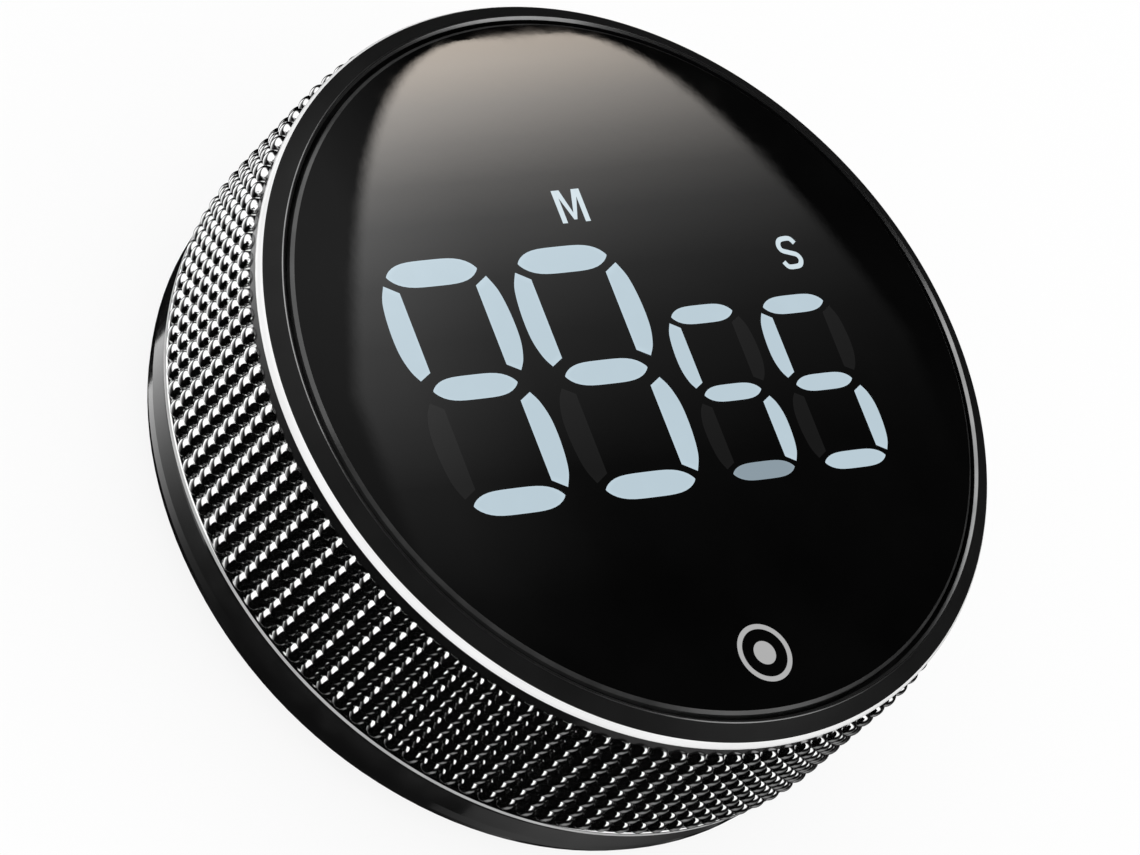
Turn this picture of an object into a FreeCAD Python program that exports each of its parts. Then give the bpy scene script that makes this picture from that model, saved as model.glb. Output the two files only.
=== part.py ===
"""Rotary kitchen timer: a round digital timer set by turning its knurled outer ring.

Millimetres, +Z out of the display, Z = 0 at the foot ring's bearing face, origin on the knob axis.
+Y is "up" for a reader of the display and +X is to their right.
Each sub-part is one STEP file in parts/, named after its node.
"""
import FreeCAD, Part
import math
import os

V = FreeCAD.Vector

# ---------------------------------------------------------------- driving dimensions
# Knob (everything that turns by hand)
KNOB_R = 39.0            # over the knurl's crests
KNURL_DEPTH = 0.8
KNURL_PITCH = 2.0        # row to row
KNURL_ROWS = 8
KNURL_FLAT = 0.22        # flat top of a row, as a share of the pitch
KNOB_BOTTOM = 8.25
KNURL_BOTTOM = 9.0
KNURL_TOP = KNURL_BOTTOM + KNURL_ROWS * KNURL_PITCH
FOOT_BAND_R = 38.65      # smooth band under the knurl
SLEEVE_IN_R = 36.55
FOOT_EDGE = 0.3          # chamfer at the sleeve's lower edge
LIP_R = 38.3             # smooth lip between the knurl and the polished rim
RIM_Z = 26.75            # centre height of the rim's rounding
RIM_ROUND = 1.0
RIM_R = 38.54            # over the rim's rounding
RIM_START, RIM_END = -20, 54      # part of the circle that the rounding follows, in degrees
BEZEL_IN_R = 36.4
BEZEL_TOP = 28.5
LINER_OUT_R = 36.5
LINER_IN_R = 35.2
LINER_BOTTOM = 9.2
LINER_TOP = 24.95

# Knob bearing and setting gear
JOURNAL_R = 34.6         # outside of the fixed housing, which the knob turns on
RUNNING_GAP = 0.06
LAND_BOTTOM, LAND_TOP = 20.0, 22.5
MODULE = 0.8
RING_TEETH = 84
PINION_TEETH = 12
RING_GEAR_BOTTOM, RING_GEAR_TOP = 13.0, 16.4
PINION_BOTTOM, PINION_TOP = 13.3, 16.1
BACKLASH = 0.18

# Front lens, a key that rocks on a line near its top edge
LENS_R = 35.95
LENS_TOP = 28.6
LENS_T = 2.0
LENS_BEVEL = 0.3
ADHESIVE_T = 0.15
CARRIER_R = 35.0
CARRIER_IN_R = 31.6
CARRIER_T = 1.2
KEY_PIVOT_Y, KEY_PIVOT_Z = 33.4, 25.2
PIVOT_RIB_R = 0.6
SWITCH_X, SWITCH_Y = 1.0, -28.6

# Fixed housing, board and display
HOUSING_TOP = 24.55
HOUSING_BOTTOM = 16.8
HOUSING_WALL = 1.6
DECK_BOTTOM, DECK_TOP = 19.1, 20.3
BOARD_R = 32.6
BOARD_T = 1.6
REFLECTOR_T = 2.4
FILM_T = 0.2

# Seven-segment digits. The seconds are the minutes' digits at 0.7 size, on the same base line.
DIGIT_BASE = -12.3       # centre line of the lowest bars
BIG_DIGIT_X = (-18.8, -4.0)
SMALL_DIGIT_X = (9.1, 19.85)
SMALL_SCALE = 0.7
BAR_RISE = 11.7          # from one horizontal bar to the next
BAR_HALF_L, BAR_HALF_T = 5.0, 1.3
SIDE_IN_X, SIDE_OUT_X = 4.3, 6.8
SIDE_MARGIN = 0.9        # side bars stop this far short of the horizontal bars' centre lines
UNIT_MARK_M = (-0.75, 16.4)
UNIT_MARK_S = (21.8, 9.4)

# Rear case
BACK_Z = 0.5
FLOOR_TOP = 2.3
BASE_R_LOW = 38.1        # where the wall meets the lower rounding
BASE_R_HIGH = 38.2
BASE_ROUND = 4.6
BASE_TOP = 7.95
BASE_WALL = 1.8
COLLAR_TOP = 12.4
COLLAR_IN_R = 33.2
FOOT_IN_R, FOOT_OUT_R = 31.8, 33.3
FOOT_GROOVE = 0.4
POST_R = 3.0
POST_PITCH_R = 28.0
POST_ANGLES = (62, 118, 242, 298)
POST_BOTTOM = 4.5
SCREW_DEPTH = 8.0        # thread length in a post
SCREW_R = 1.2
SCREW_HEAD_R = 2.3
SCREW_HEAD_T = 1.1

# Batteries: three AAA cells side by side, along X
CELL_R = 5.25
CELL_L = 44.5
CELL_PITCH = 10.7
CELL_Z = 8.5
TRAY_X, TRAY_Y = 26.2, 17.4
TRAY_IN_X, TRAY_IN_Y = 25.0, 16.2
TAB_FREE = 0.3           # round the door's tabs
TRAY_CEILING, TRAY_TOP = 13.9, 15.0
DOOR_X, DOOR_Y = 26.2, 16.8
DOOR_T = 1.15
DOOR_GAP = 0.2
DOOR_TAB_Y = 9.0
DOOR_TAB_W = 4.0
TONGUE_L, TONGUE_Y = 7.0, 6.0

# Things on the rear floor
BUZZER_Y, BUZZER_R, BUZZER_H = -25.5, 7.0, 4.2
BUZZER_WALL = 0.8
SOUND_HOLE_R, SOUND_RING_R = 0.7, 3.4
VOLUME_Y, VOLUME_TRAVEL = 24.5, 2.0
THUMB_X, THUMB_Y = 4.0, 2.8
SLOT_GAP = 0.3           # round the slider's thumb piece, at the ends of its travel
MAGNET_XY, MAGNET_R, MAGNET_T = (19.8, 21.6), 3.4, 2.0

GAP = 0.05               # between round fixed parts that seat in each other

parts = {}


# ---------------------------------------------------------------- helpers
def box(x0, x1, y0, y1, z0, z1):
    return Part.makeBox(x1 - x0, y1 - y0, z1 - z0, V(x0, y0, z0))


def centred_box(x, y, wide, deep, z0, z1):
    return box(x - wide / 2, x + wide / 2, y - deep / 2, y + deep / 2, z0, z1)


def disc(r, z0, z1, x=0.0, y=0.0):
    return Part.makeCylinder(r, z1 - z0, V(x, y, z0))


def ring(r_in, r_out, z0, z1, x=0.0, y=0.0):
    return disc(r_out, z0, z1, x, y).cut(disc(r_in, z0 - 1, z1 + 1, x, y))


def along_x(r, x0, x1, y, z):
    return Part.makeCylinder(r, x1 - x0, V(x0, y, z), V(1, 0, 0))


def revolve(profile):
    """A full turn about Z of a closed (radius, height) outline."""
    wire = Part.makePolygon([V(r, 0, z) for r, z in profile] + [V(profile[0][0], 0, profile[0][1])])
    return Part.Face(wire).revolve(V(0, 0, 0), V(0, 0, 1), 360)


def quarter(centre, radius, start, end, steps=6):
    """Points of an arc in a (radius, height) outline, angles in degrees from +R."""
    cr, cz = centre
    angles = [math.radians(start + (end - start) * i / steps) for i in range(steps + 1)]
    return [(cr + radius * math.cos(a), cz + radius * math.sin(a)) for a in angles]


def prism(points, z0, z1):
    wire = Part.makePolygon([V(x, y, z0) for x, y in points] + [V(points[0][0], points[0][1], z0)])
    return Part.Face(wire).extrude(V(0, 0, z1 - z0))


def polar(r, degrees):
    return r * math.cos(math.radians(degrees)), r * math.sin(math.radians(degrees))


def fuse(first, *others):
    shape = first
    for other in others:
        shape = shape.fuse(other)
    return shape.removeSplitter()


def cut(shape, *tools):
    for tool in tools:
        shape = shape.cut(tool)
    return shape


def group(shapes):
    return Part.makeCompound(shapes)


# ---------------------------------------------------------------- knob
def knurled_grip():
    """Metal sleeve: a groove between each two rows stands for the beads' edges."""
    outline = [(SLEEVE_IN_R, KNOB_BOTTOM), (FOOT_BAND_R - FOOT_EDGE, KNOB_BOTTOM)]
    outline += [(FOOT_BAND_R, KNOB_BOTTOM + FOOT_EDGE), (FOOT_BAND_R, KNURL_BOTTOM - FOOT_EDGE)]
    floor_r = KNOB_R - KNURL_DEPTH
    for row in range(KNURL_ROWS):
        low = KNURL_BOTTOM + row * KNURL_PITCH
        outline.append((floor_r, low))
        outline.append((KNOB_R, low + KNURL_PITCH * (1 - KNURL_FLAT) / 2))
        outline.append((KNOB_R, low + KNURL_PITCH * (1 + KNURL_FLAT) / 2))
    outline += [(floor_r, KNURL_TOP), (SLEEVE_IN_R, KNURL_TOP)]
    return revolve(outline)


def knob_bezel():
    """Front ring: smooth lip, polished rounded rim, and a cone that rises to the lens."""
    rim = quarter((RIM_R - RIM_ROUND, RIM_Z), RIM_ROUND, RIM_START, RIM_END, 8)
    outline = [(BEZEL_IN_R, KNURL_TOP), (LIP_R, KNURL_TOP), (LIP_R, rim[0][1])] + rim
    outline += quarter((BEZEL_IN_R + 0.25, BEZEL_TOP - 0.2), 0.2, 35, 90, 3)
    outline += [(BEZEL_IN_R, BEZEL_TOP - 0.25)]
    return revolve(outline)


def ring_gear_outline():
    """Inner teeth of the setting gear, a tooth space centred on +Y."""
    pitch_r = MODULE * RING_TEETH / 2
    pitch = 360.0 / RING_TEETH
    half_at_pitch = math.degrees((math.pi * MODULE / 2 - BACKLASH) / 2 / pitch_r)
    slope = math.degrees(math.tan(math.radians(20)) * MODULE / pitch_r)
    points = []
    for k in range(RING_TEETH):
        middle = 90 + (k + 0.5) * pitch
        points.append(polar(pitch_r + 1.25 * MODULE, middle - half_at_pitch - 1.25 * slope))
        points.append(polar(pitch_r - 0.85 * MODULE, middle - half_at_pitch + 0.85 * slope))
        points.append(polar(pitch_r - 0.85 * MODULE, middle + half_at_pitch - 0.85 * slope))
        points.append(polar(pitch_r + 1.25 * MODULE, middle + half_at_pitch + 1.25 * slope))
    return points


def knob_liner():
    """Plastic liner in the sleeve: bearing land above, internal gear flange below."""
    wall = ring(LINER_IN_R, LINER_OUT_R, LINER_BOTTOM, LINER_TOP)
    land = ring(JOURNAL_R + RUNNING_GAP, LINER_IN_R + 0.1, LAND_BOTTOM, LAND_TOP)
    gear = disc(LINER_IN_R + 0.1, RING_GEAR_BOTTOM, RING_GEAR_TOP)
    gear = gear.cut(prism(ring_gear_outline(), RING_GEAR_BOTTOM - 1, RING_GEAR_TOP + 1))
    return fuse(wall, land, gear)


def encoder_pinion():
    """Small gear on the encoder's shaft, meshing inside the knob's ring gear, a tooth on +Y."""
    pitch_r = MODULE * PINION_TEETH / 2
    centre_y = MODULE * (RING_TEETH - PINION_TEETH) / 2
    pitch = 360.0 / PINION_TEETH
    half_at_pitch = math.degrees((math.pi * MODULE / 2 - BACKLASH) / 2 / pitch_r)
    tip_half = half_at_pitch * 0.42
    root_half = half_at_pitch * 1.25
    points = []
    for k in range(PINION_TEETH):
        middle = 90 + k * pitch
        for r, half in ((pitch_r - 1.2 * MODULE, -root_half), (pitch_r, -half_at_pitch),
                        (pitch_r + 0.8 * MODULE, -tip_half), (pitch_r + 0.8 * MODULE, tip_half),
                        (pitch_r, half_at_pitch), (pitch_r - 1.2 * MODULE, root_half)):
            x, y = polar(r, middle + half)
            points.append((x, y + centre_y))
    gear = prism(points, PINION_BOTTOM, PINION_TOP)
    shaft = disc(1.4, PINION_TOP - 1, ENCODER_BOTTOM + 1.5, 0, centre_y)
    return fuse(gear, shaft)


# ---------------------------------------------------------------- lens key
LENS_BOTTOM = LENS_TOP - LENS_T
CARRIER_TOP = LENS_BOTTOM - ADHESIVE_T
CARRIER_BOTTOM = CARRIER_TOP - CARRIER_T


def front_lens():
    edge = LENS_TOP - LENS_BEVEL
    return revolve([(0, LENS_BOTTOM), (LENS_R, LENS_BOTTOM), (LENS_R, edge), (LENS_R - LENS_BEVEL, LENS_TOP),
                    (0, LENS_TOP)])


def lens_carrier():
    """Ring glued under the lens, with a pad over the switch and two ribs to rock on."""
    body = ring(CARRIER_IN_R, CARRIER_R, CARRIER_BOTTOM, CARRIER_TOP)
    pad = centred_box(SWITCH_X, SWITCH_Y - 1.4, 9, 6.8, CARRIER_BOTTOM, CARRIER_TOP)
    ribs = [along_x(PIVOT_RIB_R, x - 2, x + 2, KEY_PIVOT_Y, KEY_PIVOT_Z) for x in (-6.5, 6.5)]
    return fuse(body, pad, *ribs)


# ---------------------------------------------------------------- fixed housing and board
BOARD_TOP = DECK_TOP + BOARD_T
REFLECTOR_TOP = BOARD_TOP + REFLECTOR_T
ENCODER_BOTTOM = 16.5
ENCODER_Y = 28.3
PIN_PLACES = ((-24.75, CELL_PITCH), (24.75, -CELL_PITCH))     # over the two end contacts


def post_places():
    return [polar(POST_PITCH_R, a) for a in POST_ANGLES]


def display_housing():
    """Cup that holds the board, journal for the knob, and four posts down to the rear case."""
    wall = ring(JOURNAL_R - HOUSING_WALL, JOURNAL_R, HOUSING_BOTTOM, HOUSING_TOP)
    deck = disc(JOURNAL_R - HOUSING_WALL / 2, DECK_BOTTOM, DECK_TOP)
    posts = [disc(POST_R, POST_BOTTOM, DECK_BOTTOM + 0.2, x, y) for x, y in post_places()]
    body = fuse(wall, deck, *posts)
    pilots = [disc(SCREW_R + GAP, POST_BOTTOM - 1, POST_BOTTOM + SCREW_DEPTH + 0.5, x, y)
              for x, y in post_places()]
    encoder_window = centred_box(0, ENCODER_Y, 9, 7.6, DECK_BOTTOM - 1, DECK_TOP + 1)
    pin_holes = [disc(0.7, DECK_BOTTOM - 1, DECK_TOP + 1, x, y) for x, y in PIN_PLACES]
    board_pilots = [disc(0.85, DECK_BOTTOM - 1, DECK_TOP + 1, x, y) for x, y in board_screw_places()]
    return cut(body, encoder_window, *pilots, *pin_holes, *board_pilots)


def board_screw_places():
    return [polar(29.6, a) for a in (50, 130, 220, 320)]


def main_board():
    board = disc(BOARD_R, DECK_TOP, BOARD_TOP)
    holes = [disc(0.95, DECK_TOP - 1, BOARD_TOP + 1, x, y) for x, y in board_screw_places()]
    return cut(board, *holes)


def board_screws():
    screws = []
    for x, y in board_screw_places():
        head = disc(1.7, BOARD_TOP, BOARD_TOP + 1.0, x, y)
        shank = disc(0.8, DECK_BOTTOM - 0.6, BOARD_TOP + 0.2, x, y)
        slot = centred_box(x, y, 2.4, 0.5, BOARD_TOP + 0.6, BOARD_TOP + 2)
        screws.append(fuse(head, shank).cut(slot))
    return group(screws)


# ---------------------------------------------------------------- display
def digit_bars(x, scale, clearance):
    """Outlines of one digit's seven bars; clearance shrinks them inside their light wells."""
    rise = BAR_RISE * scale
    half_l = BAR_HALF_L * scale - clearance
    half_t = BAR_HALF_T * scale - clearance
    lens = [(-half_l, 0), (-half_l * 0.6, half_t), (half_l * 0.6, half_t), (half_l, 0),
            (half_l * 0.6, -half_t), (-half_l * 0.6, -half_t)]
    inner, outer = SIDE_IN_X * scale + clearance, SIDE_OUT_X * scale - clearance
    low, high = SIDE_MARGIN * scale + clearance, rise - SIDE_MARGIN * scale - clearance
    tip = inner + (outer - inner) * 0.55
    shoulder = 0.85 * scale
    side = [(inner, low + shoulder), (tip, low), (outer, low + 2.6 * scale), (outer, high - 2.6 * scale),
            (tip, high), (inner, high - shoulder)]
    bars = [[(x + px, DIGIT_BASE + k * rise + py) for px, py in lens] for k in range(3)]
    bars += [[(x + i * px, DIGIT_BASE + k * rise + py) for px, py in side] for i in (-1, 1) for k in (0, 1)]
    return bars


def all_digits():
    """(centre x, scale) of the four digits, left to right."""
    return [(x, 1.0) for x in BIG_DIGIT_X] + [(x, SMALL_SCALE) for x in SMALL_DIGIT_X]


def digit_reflector():
    """White block on the board with one light well per segment."""
    block = box(-27.3, 26.9, -15.2, 13.4, BOARD_TOP, REFLECTOR_TOP)
    wells = []
    for digit in all_digits():
        wells += [prism(bar, BOARD_TOP - 1, REFLECTOR_TOP + 1) for bar in digit_bars(*digit, 0)]
    wells.append(centred_box(UNIT_MARK_S[0], UNIT_MARK_S[1], 4.4, 5.0, BOARD_TOP - 1, REFLECTOR_TOP + 1))
    return block.cut(Part.makeCompound(wells))


def digit_diffuser(digit):
    return group([prism(bar, REFLECTOR_TOP - 0.9, REFLECTOR_TOP) for bar in digit_bars(*digit, GAP)])


def unit_mark_guides():
    mx, my = UNIT_MARK_M
    sx, sy = UNIT_MARK_S
    return group([centred_box(mx, my, 4.4, 5.4, BOARD_TOP + 0.8, REFLECTOR_TOP),
                  centred_box(sx, sy, 4.2, 4.8, BOARD_TOP + 0.8, REFLECTOR_TOP)])


def led_chips():
    """One small lamp under the middle of each bar and under each unit mark."""
    places = [UNIT_MARK_M, UNIT_MARK_S]
    side_x = (SIDE_IN_X + SIDE_OUT_X) / 2
    for x, scale in all_digits():
        places += [(x, DIGIT_BASE + k * BAR_RISE * scale) for k in range(3)]
        places += [(x + i * side_x * scale, DIGIT_BASE + (k + 0.5) * BAR_RISE * scale) for i in (-1, 1)
                   for k in (0, 1)]
    return group([centred_box(px, py, 0.9, 0.9, BOARD_TOP, BOARD_TOP + 0.6) for px, py in places])


def diffuser_film():
    return box(-27.0, 26.6, -15.0, 13.2, REFLECTOR_TOP, REFLECTOR_TOP + FILM_T)


# ---------------------------------------------------------------- parts on the board
def controller_chip():
    body = centred_box(-11, -22.5, 7, 7, BOARD_TOP + 0.1, BOARD_TOP + 1.5)
    leads = []
    for k in range(8):
        offset = (k - 3.5) * 0.8
        leads.append(centred_box(-11 + offset, -22.5, 0.35, 9, BOARD_TOP, BOARD_TOP + 0.4))
        leads.append(centred_box(-11, -22.5 + offset, 9, 0.35, BOARD_TOP, BOARD_TOP + 0.4))
    return fuse(body, *leads)


def chip_components():
    places = [(-15 + 3.0 * k, 22.5) for k in range(3)] + [(8 + 3.0 * k, 20.5) for k in range(4)]
    places += [(10 + 3.0 * k, -20.0) for k in range(3)] + [(10 + 3.0 * k, -23.5) for k in range(2)]
    return group([centred_box(x, y, 1.2, 2.0, BOARD_TOP, BOARD_TOP + 0.7) for x, y in places])


SWITCH_TOP = BOARD_TOP + 1.6
PLUNGER_TOP = CARRIER_BOTTOM - GAP


def key_switch():
    body = centred_box(SWITCH_X, SWITCH_Y, 4.5, 4.5, BOARD_TOP, SWITCH_TOP)
    return cut(body, disc(1.2, SWITCH_TOP - 1.0, SWITCH_TOP + 1, SWITCH_X, SWITCH_Y))


def key_plunger():
    return disc(1.15, SWITCH_TOP - 0.55, PLUNGER_TOP, SWITCH_X, SWITCH_Y)


def encoder_body():
    centre_y = MODULE * (RING_TEETH - PINION_TEETH) / 2
    body = centred_box(0, ENCODER_Y, 8, 7, ENCODER_BOTTOM, DECK_TOP)
    return cut(body, disc(1.46, ENCODER_BOTTOM - 1, ENCODER_BOTTOM + 1.8, 0, centre_y))


# ---------------------------------------------------------------- rear case
DOOR_TOP = BACK_Z + DOOR_T
TAB_POCKET_Z = 1.0       # floor skin left under the door's tabs


def rear_case():
    """Base ring rounded below, floor with the battery doorway, and a collar under the knob's gear."""
    outline = [(0, BACK_Z), (FOOT_IN_R, BACK_Z), (FOOT_IN_R, BACK_Z + FOOT_GROOVE)]
    outline += [(FOOT_OUT_R, BACK_Z + FOOT_GROOVE), (FOOT_OUT_R, BACK_Z)]
    outline += quarter((BASE_R_LOW - BASE_ROUND, BACK_Z + BASE_ROUND), BASE_ROUND, 270, 360)
    outline += [(BASE_R_HIGH, BASE_TOP - 0.4), (BASE_R_HIGH - 0.4, BASE_TOP),
                (BASE_R_HIGH - BASE_WALL, BASE_TOP)]
    outline += [(JOURNAL_R + 0.3, FLOOR_TOP + 0.9), (JOURNAL_R, FLOOR_TOP + 0.9)]
    outline += [(JOURNAL_R, COLLAR_TOP), (COLLAR_IN_R, COLLAR_TOP), (COLLAR_IN_R, FLOOR_TOP), (0, FLOOR_TOP)]
    body = revolve(outline)
    bosses = [disc(POST_R, FLOOR_TOP - 0.2, POST_BOTTOM, x, y) for x, y in post_places()]
    body = fuse(body, *bosses)
    below, above = BACK_Z - 1, FLOOR_TOP + 1
    edge_x, edge_y = DOOR_X + DOOR_GAP, DOOR_Y + DOOR_GAP
    doorway = [box(-edge_x, edge_x, -edge_y, edge_y, below, DOOR_TOP + 0.05),
               box(-24.4, 24.4, -TRAY_IN_Y, TRAY_IN_Y, below, above)]
    doorway += [centred_box(-edge_x + 0.25, side * DOOR_TAB_Y, 3.5, DOOR_TAB_W + 2 * TAB_FREE,
                            TAB_POCKET_Z, above)
                for side in (-1, 1)]
    finger_scoop = Part.makeSphere(7.0, V(edge_x + 0.4, 0, BACK_Z - 6.1))
    screw_holes = [disc(SCREW_R + GAP, below, POST_BOTTOM + 1, x, y) for x, y in post_places()]
    head_holes = [disc(SCREW_HEAD_R + 0.2, below, BACK_Z + SCREW_HEAD_T + 0.3, x, y)
                  for x, y in post_places()]
    around = [(0, 0)] + [polar(SOUND_RING_R, 60 * k) for k in range(6)]
    sound_holes = [disc(SOUND_HOLE_R, below, above, x, y + BUZZER_Y) for x, y in around]
    volume_slot = centred_box(0, VOLUME_Y, THUMB_X + 2 * (VOLUME_TRAVEL + SLOT_GAP),
                              THUMB_Y + 2 * SLOT_GAP, below, above)
    return cut(body, *doorway, finger_scoop, *screw_holes, *head_holes, *sound_holes, volume_slot)


def case_screws():
    screws = []
    seat = BACK_Z + SCREW_HEAD_T + 0.3
    for x, y in post_places():
        head = disc(SCREW_HEAD_R, seat - SCREW_HEAD_T, seat, x, y)
        shank = disc(SCREW_R, seat - 0.2, POST_BOTTOM + SCREW_DEPTH, x, y)
        cross = fuse(centred_box(x, y, 2.6, 0.6, seat - SCREW_HEAD_T - 1, seat - 0.45),
                     centred_box(x, y, 0.6, 2.6, seat - SCREW_HEAD_T - 1, seat - 0.45))
        screws.append(fuse(head, shank).cut(cross))
    return group(screws)


def foot_ring():
    lip = 0.15
    return revolve([(FOOT_IN_R + GAP + lip, 0), (FOOT_OUT_R - GAP - lip, 0), (FOOT_OUT_R - GAP, lip),
                    (FOOT_OUT_R - GAP, BACK_Z + FOOT_GROOVE), (FOOT_IN_R + GAP, BACK_Z + FOOT_GROOVE),
                    (FOOT_IN_R + GAP, lip)])


def magnets():
    mx, my = MAGNET_XY
    return group([disc(MAGNET_R, FLOOR_TOP, FLOOR_TOP + MAGNET_T, i * mx, j * my)
                  for i in (-1, 1) for j in (-1, 1)])


def volume_switch_body():
    can = centred_box(0, VOLUME_Y, 9.4, 4.4, FLOOR_TOP, FLOOR_TOP + 3.4)
    return cut(can, centred_box(0, VOLUME_Y, 8.4, 2.2, FLOOR_TOP - 1, FLOOR_TOP + 1.5))


def volume_slider():
    """Thumb piece in the back's slot; it shows three grip ridges and travels along X."""
    thumb = centred_box(0, VOLUME_Y, THUMB_X, THUMB_Y, BACK_Z + 0.15, FLOOR_TOP - 0.2)
    grooves = [centred_box(k * 1.1, VOLUME_Y, 0.4, 3.5, BACK_Z - 0.5, BACK_Z + 0.45) for k in (-1, 0, 1)]
    stem = centred_box(0, VOLUME_Y, 2.4, 1.6, FLOOR_TOP - 0.4, FLOOR_TOP + 1.3)
    return fuse(cut(thumb, *grooves), stem)


def buzzer_case():
    cup = disc(BUZZER_R, FLOOR_TOP, FLOOR_TOP + BUZZER_H, 0, BUZZER_Y)
    hollow = FLOOR_TOP + BUZZER_H - BUZZER_WALL
    return cut(cup, disc(BUZZER_R - BUZZER_WALL, FLOOR_TOP - 1, hollow, 0, BUZZER_Y))


def buzzer_disc():
    z = FLOOR_TOP + 1.6
    plate = disc(BUZZER_R - BUZZER_WALL - 0.1, z, z + 0.3, 0, BUZZER_Y)
    return fuse(plate, disc(4.4, z + 0.3, z + 0.55, 0, BUZZER_Y))


# ---------------------------------------------------------------- batteries
def battery_tray():
    """Box over the cells, open towards the door, with a low rib between each two cells."""
    shell = box(-TRAY_X, TRAY_X, -TRAY_Y, TRAY_Y, FLOOR_TOP, TRAY_TOP)
    hollow = box(-TRAY_IN_X, TRAY_IN_X, -TRAY_IN_Y, TRAY_IN_Y, FLOOR_TOP - 1, TRAY_CEILING)
    pin_holes = [disc(0.6, TRAY_CEILING - 1, TRAY_TOP + 1, x, y) for x, y in PIN_PLACES]
    ribs = [box(-15, 15, y - 0.3, y + 0.3, TRAY_CEILING - 1.6, TRAY_CEILING)
            for y in (-CELL_PITCH / 2, CELL_PITCH / 2)]
    tab_reliefs = [centred_box(-TRAY_X, side * DOOR_TAB_Y, 3.5, DOOR_TAB_W + 2 * TAB_FREE,
                               FLOOR_TOP - 1, FLOOR_TOP + 0.5)
                   for side in (-1, 1)]
    return cut(fuse(cut(shell, hollow), *ribs), *pin_holes, *tab_reliefs)


def cell_directions():
    """(y, sign of the positive end along X) of each cell."""
    return [(CELL_PITCH, 1), (0.0, -1), (-CELL_PITCH, 1)]


def battery_cell(y, sign):
    """One AAA cell: can, and the smaller positive nub included in its length."""
    nub = 0.8
    low, high = -CELL_L / 2, CELL_L / 2 - nub
    can = along_x(CELL_R, low, high, 0, CELL_Z)
    tip = along_x(1.9, high - 0.5, CELL_L / 2, 0, CELL_Z)
    cell = fuse(can, tip)
    if sign < 0:
        cell.rotate(V(0, 0, 0), V(0, 0, 1), 180)
    cell.translate(V(0, y, 0))
    return cell


def contact(side, cells):
    """Sheet-metal contact on one end wall: a back strip, and a bump or spring leaf per cell."""
    ys = [y for y, _ in cells]
    outer = TRAY_IN_X - 0.05
    strip = box(outer - 0.4, outer, min(ys) - 3.4, max(ys) + 3.4, CELL_Z - 4.5, CELL_Z + 4.9)
    pieces = [strip]
    for y, sign in cells:
        if sign == side:
            pieces.append(box(CELL_L / 2 + 0.05, outer - 0.2, y - 1.5, y + 1.5, CELL_Z - 1.5, CELL_Z + 1.5))
        else:
            leaf = [(outer - 0.4, CELL_Z - 3.6), (CELL_L / 2 + 0.05, CELL_Z - 0.6),
                    (CELL_L / 2 + 0.05, CELL_Z + 0.6),
                    (outer - 0.4, CELL_Z + 3.6), (outer - 0.2, CELL_Z + 3.6), (outer - 0.2, CELL_Z - 3.6)]
            corners = [V(x, y - 2.2, z) for x, z in leaf]
            face = Part.Face(Part.makePolygon(corners + [corners[0]]))
            hollow = Part.makeCylinder(0.55, 8, V(outer - 1.35, y - 4, CELL_Z), V(0, 1, 0))
            pieces.append(face.extrude(V(0, 4.4, 0)).cut(hollow))
    shape = fuse(*pieces)
    if side < 0:
        shape = shape.mirror(V(0, 0, 0), V(1, 0, 0))
    return shape


def battery_bridges():
    """The two contacts that join neighbouring cells, so that the three are in series."""
    first, second, third = cell_directions()
    return group([contact(1, [first, second]), contact(-1, [second, third])])


def battery_terminals():
    """The contacts at the two ends of the series."""
    first, _, third = cell_directions()
    return group([contact(-1, [first]), contact(1, [third])])


def power_pins():
    return group([disc(0.4, CELL_Z + 4.9, DECK_TOP, x, y) for x, y in PIN_PLACES])


def battery_door():
    """Flush door: round nose and tabs at the -X end, which it tilts about, and a latch tongue at
    the +X end."""
    plate = box(-DOOR_X + DOOR_T / 2, DOOR_X, -DOOR_Y, DOOR_Y, BACK_Z, DOOR_TOP)
    nose_end = V(-DOOR_X + DOOR_T / 2, -DOOR_Y, BACK_Z + DOOR_T / 2)
    nose = Part.makeCylinder(DOOR_T / 2, 2 * DOOR_Y, nose_end, V(0, 1, 0))
    tabs = [box(-DOOR_X - 0.7, -DOOR_X + 1.2, side * DOOR_TAB_Y - DOOR_TAB_W / 2,
                side * DOOR_TAB_Y + DOOR_TAB_W / 2,
                DOOR_TOP - 0.5, DOOR_TOP) for side in (-1, 1)]
    ribs = [centred_box(-3, y, 36, 0.8, DOOR_TOP - 0.1, DOOR_TOP + 0.9)
            for y in (-CELL_PITCH / 2, CELL_PITCH / 2)]
    slits = [box(DOOR_X - TONGUE_L, DOOR_X + 1, side * TONGUE_Y - 0.35, side * TONGUE_Y + 0.35,
                 BACK_Z - 1, DOOR_TOP + 1)
             for side in (-1, 1)]
    grips = [centred_box(DOOR_X - 1.4 - 1.3 * k, 0, 0.5, 2 * TONGUE_Y - 2, BACK_Z - 1, BACK_Z + 0.25)
             for k in range(3)]
    return cut(fuse(plate, nose, *tabs, *ribs), *slits, *grips)


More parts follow.
